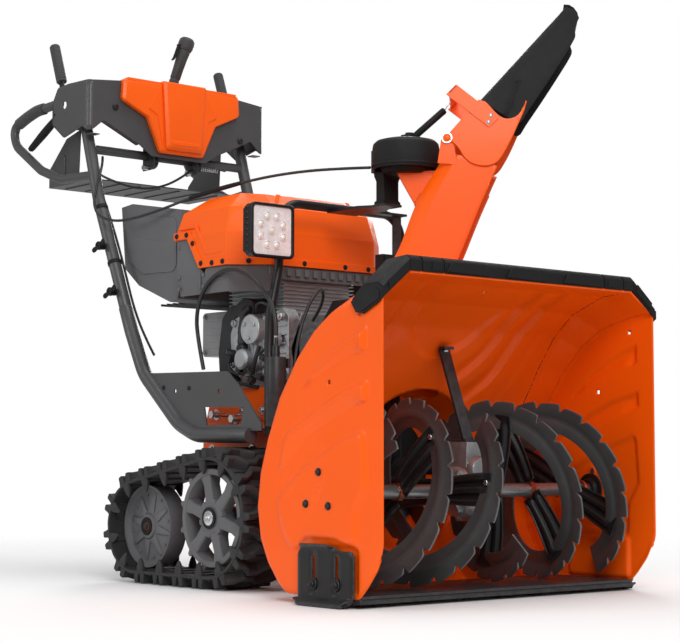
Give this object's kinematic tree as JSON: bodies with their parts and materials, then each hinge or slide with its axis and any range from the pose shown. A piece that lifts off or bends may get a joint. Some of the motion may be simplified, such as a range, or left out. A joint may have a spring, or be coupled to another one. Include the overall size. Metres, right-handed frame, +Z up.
{
  "type": "two stage snowblower",
  "caption": "Walk-behind snow thrower: wide auger housing, turning chute with tilting hood, engine, rubber tracks, hoop lamp and handlebar with console.",
  "frame": {"origin": "on the floor, midway between the left and right sides and midway between the auger's front and the handles' rear end", "axes": "+X to the machine's own left, -Y straight ahead towards the auger mouth, +Z up"},
  "size_m": [0.828, 1.5739, 1.3625],
  "materials": {
    "orange_paint": "gloss",
    "orange_plastic": "satin gloss",
    "charcoal_steel": "satin powder coat",
    "black_steel": "satin powder coat",
    "charcoal_plastic": "fine grained",
    "black_plastic": "fine grained",
    "auger_steel": "satin",
    "cast_alloy": "as cast",
    "zinc_steel": "zinc plated",
    "rubber": "matt",
    "grip_rubber": "soft, ribbed",
    "track_rubber": "moulded",
    "lamp_housing": "black anodised"
  },
  "bodies": {
    "chassis": {"housing_back": "orange_paint", "side_plates": "orange_paint", "housing_cap": "black_plastic", "scraper_bar": "black_steel", "impeller_drum": "orange_paint", "auger_brace": "black_steel", "gear_case": "cast_alloy", "motor_frame": "orange_paint", "belt_cover": "black_plastic", "drive_belts": "rubber", "engine_block": "cast_alloy", "engine_hood": "orange_plastic", "engine_shroud": "charcoal_plastic", "fuel_tank": "charcoal_plastic", "muffler_guard": "zinc_steel", "recoil_cover": "black_plastic", "guard_hoop": "black_steel", "rotator_head": "black_plastic", "lower_handle": "charcoal_steel", "chassis_bolts": "zinc_steel", "transmission": "cast_alloy", "engine_cables": "rubber"},
    "auger": {"auger_flights": "auger_steel", "auger_shaft": "auger_steel"},
    "impeller": {"impeller": "auger_steel"},
    "crank": {"crank_pulley": "zinc_steel"},
    "chute": {"chute": "orange_paint", "chute_rotor": "orange_paint"},
    "deflector": {"deflector": "orange_paint", "deflector_hood": "black_plastic"},
    "handle": {"handlebar": "charcoal_steel", "console_panel": "charcoal_steel", "console_cover": "orange_plastic", "loop_grips": "grip_rubber", "control_cables": "rubber"},
    "joystick_gimbal": {"joystick_gimbal": "zinc_steel"},
    "joystick": {"joystick": "grip_rubber"},
    "joystick_trigger": {"joystick_trigger": "black_plastic"},
    "clutch_lever_right": {"clutch_lever_right": "grip_rubber"},
    "clutch_lever_left": {"clutch_lever_left": "grip_rubber"},
    "steering_trigger_right": {"steering_trigger_right": "black_plastic"},
    "steering_trigger_left": {"steering_trigger_left": "black_plastic"},
    "knob_upper_right": {"knob_upper_right": "black_plastic"},
    "knob_lower_right": {"knob_lower_right": "black_plastic"},
    "knob_upper_left": {"knob_upper_left": "black_plastic"},
    "knob_lower_left": {"knob_lower_left": "black_plastic"},
    "skid_shoe_right": {"skid_shoe_right": "black_steel"},
    "skid_shoe_left": {"skid_shoe_left": "black_steel"},
    "work_lamp": {"work_lamp": "lamp_housing"},
    "fuel_cap": {"fuel_cap": "black_plastic"},
    "recoil_grip": {"recoil_grip": "black_plastic"},
    "track_unit": {"track_belts": "track_rubber", "track_frame": "orange_paint"},
    "sprocket_right": {"sprocket_right": "charcoal_plastic"},
    "sprocket_left": {"sprocket_left": "charcoal_plastic"},
    "idler_right": {"idler_right": "charcoal_plastic"},
    "idler_left": {"idler_left": "charcoal_plastic"},
    "strut_cylinder": {"strut_cylinder": "black_steel"},
    "strut_rod": {"strut_rod": "zinc_steel"}
  },
  "joints": [
    {"name": "impeller_spin", "type": "hinge", "parent": "chassis", "child": "impeller", "pos_m": [0, -0.38, 0.255], "axis": [0, 1, 0], "continuous": true},
    {"name": "auger_spin", "type": "hinge", "parent": "chassis", "child": "auger", "pos_m": [0, -0.601, 0.213], "axis": [1, 0, 0], "continuous": true},
    {"name": "crank_spin", "type": "hinge", "parent": "chassis", "child": "crank", "pos_m": [0, -0.28, 0.5], "axis": [0, 1, 0], "continuous": true},
    {"name": "chute_rotate", "type": "hinge", "parent": "chassis", "child": "chute", "pos_m": [0, -0.423, 0.64], "axis": [0, 0, 1], "range_deg": [-130, 45]},
    {"name": "deflector_tilt", "type": "hinge", "parent": "chute", "child": "deflector", "pos_m": [0.06364, -0.48664, 0.953], "axis": [0.7071, 0.7071, 0], "range_deg": [0, 30]},
    {"name": "handle_height", "type": "slide", "parent": "chassis", "child": "handle", "axis": [0, 0.4119, 0.9112], "range_m": [0, 0.06]},
    {"name": "joystick_side", "type": "hinge", "parent": "handle", "child": "joystick_gimbal", "pos_m": [0, 0.482, 1.165], "axis": [0, 1, 0], "range_deg": [-39.5, 14]},
    {"name": "joystick_fore", "type": "hinge", "parent": "joystick_gimbal", "child": "joystick", "pos_m": [0, 0.482, 1.165], "axis": [1, 0, 0], "range_deg": [0, 18.5]},
    {"name": "joystick_trigger_pull", "type": "hinge", "parent": "joystick", "child": "joystick_trigger", "pos_m": [0.02488, 0.46654, 1.3356], "axis": [0, -0.995, -0.0995], "range_deg": [0, 5], "stiffness_Nm_per_rad": 0.3, "springref_deg": -5.73},
    {"name": "clutch_right", "type": "hinge", "parent": "handle", "child": "clutch_lever_right", "pos_m": [-0.255, 0.565, 1.19], "axis": [1, 0, 0], "range_deg": [-58, 0], "stiffness_Nm_per_rad": 1.5, "springref_deg": 20.05},
    {"name": "clutch_left", "type": "hinge", "parent": "handle", "child": "clutch_lever_left", "pos_m": [0.255, 0.565, 1.19], "axis": [1, 0, 0], "range_deg": [-58, 0], "stiffness_Nm_per_rad": 1.5, "springref_deg": 20.05},
    {"name": "steer_right", "type": "hinge", "parent": "handle", "child": "steering_trigger_right", "pos_m": [-0.258, 0.584, 1.134], "axis": [1, 0, 0], "range_deg": [0, 12], "stiffness_Nm_per_rad": 2, "springref_deg": -20.05},
    {"name": "steer_left", "type": "hinge", "parent": "handle", "child": "steering_trigger_left", "pos_m": [0.258, 0.584, 1.134], "axis": [1, 0, 0], "range_deg": [0, 12], "stiffness_Nm_per_rad": 2, "springref_deg": -20.05},
    {"name": "knob_upper_right_turn", "type": "hinge", "parent": "handle", "child": "knob_upper_right", "pos_m": [-0.256, 0.372, 0.786], "axis": [1, 0, 0], "continuous": true},
    {"name": "knob_lower_right_turn", "type": "hinge", "parent": "handle", "child": "knob_lower_right", "pos_m": [-0.256, 0.321, 0.672], "axis": [1, 0, 0], "continuous": true},
    {"name": "knob_upper_left_turn", "type": "hinge", "parent": "handle", "child": "knob_upper_left", "pos_m": [0.256, 0.372, 0.786], "axis": [1, 0, 0], "continuous": true},
    {"name": "knob_lower_left_turn", "type": "hinge", "parent": "handle", "child": "knob_lower_left", "pos_m": [0.256, 0.321, 0.672], "axis": [1, 0, 0], "continuous": true},
    {"name": "skid_right_slide", "type": "slide", "parent": "chassis", "child": "skid_shoe_right", "axis": [0, 0, 1], "range_m": [-0.04, 0]},
    {"name": "skid_left_slide", "type": "slide", "parent": "chassis", "child": "skid_shoe_left", "axis": [0, 0, 1], "range_m": [-0.04, 0]},
    {"name": "lamp_tilt", "type": "hinge", "parent": "chassis", "child": "work_lamp", "pos_m": [-0.198, -0.222, 0.763], "axis": [1, 0, 0], "range_deg": [-10, 10]},
    {"name": "fuel_cap_turn", "type": "hinge", "parent": "chassis", "child": "fuel_cap", "pos_m": [0.06, 0.275, 0.905], "axis": [0, 0, 1], "continuous": true},
    {"name": "recoil_pull", "type": "slide", "parent": "chassis", "child": "recoil_grip", "axis": [0, 1, 0], "range_m": [0, 0.03]},
    {"name": "track_tilt", "type": "hinge", "parent": "chassis", "child": "track_unit", "pos_m": [0, -0.142, 0.152], "axis": [1, 0, 0], "range_deg": [-5, 6]},
    {"name": "sprocket_right_spin", "type": "hinge", "parent": "chassis", "child": "sprocket_right", "pos_m": [-0.285, -0.142, 0.152], "axis": [1, 0, 0], "continuous": true},
    {"name": "sprocket_left_spin", "type": "hinge", "parent": "chassis", "child": "sprocket_left", "pos_m": [0.285, -0.142, 0.152], "axis": [1, 0, 0], "continuous": true},
    {"name": "idler_right_spin", "type": "hinge", "parent": "track_unit", "child": "idler_right", "pos_m": [-0.26, 0.137, 0.126], "axis": [1, 0, 0], "continuous": true},
    {"name": "idler_left_spin", "type": "hinge", "parent": "track_unit", "child": "idler_left", "pos_m": [0.26, 0.137, 0.126], "axis": [1, 0, 0], "continuous": true},
    {"name": "strut_swing", "type": "hinge", "parent": "chassis", "child": "strut_cylinder", "pos_m": [-0.21, -0.276, 0.48], "axis": [1, 0, 0], "range_deg": [-5.5, 4.5]},
    {"name": "strut_extend", "type": "slide", "parent": "strut_cylinder", "child": "strut_rod", "axis": [0, 0, -1], "range_m": [-0.0125, 0.0145]}
  ],
  "couplings": [
    {"joint": "auger_spin", "follows": "impeller_spin", "ratio": -0.1},
    {"joint": "joystick_side", "follows": "chute_rotate", "ratio": 0.3},
    {"joint": "joystick_fore", "follows": "deflector_tilt", "ratio": 0.4},
    {"joint": "strut_swing", "follows": "track_tilt", "ratio": -0.88},
    {"joint": "strut_extend", "follows": "track_tilt", "m_per_rad": 0.135},
    {"joint": "idler_right_spin", "follows": "sprocket_right_spin", "ratio": 1.268},
    {"joint": "idler_left_spin", "follows": "sprocket_left_spin", "ratio": 1.268}
  ]
}
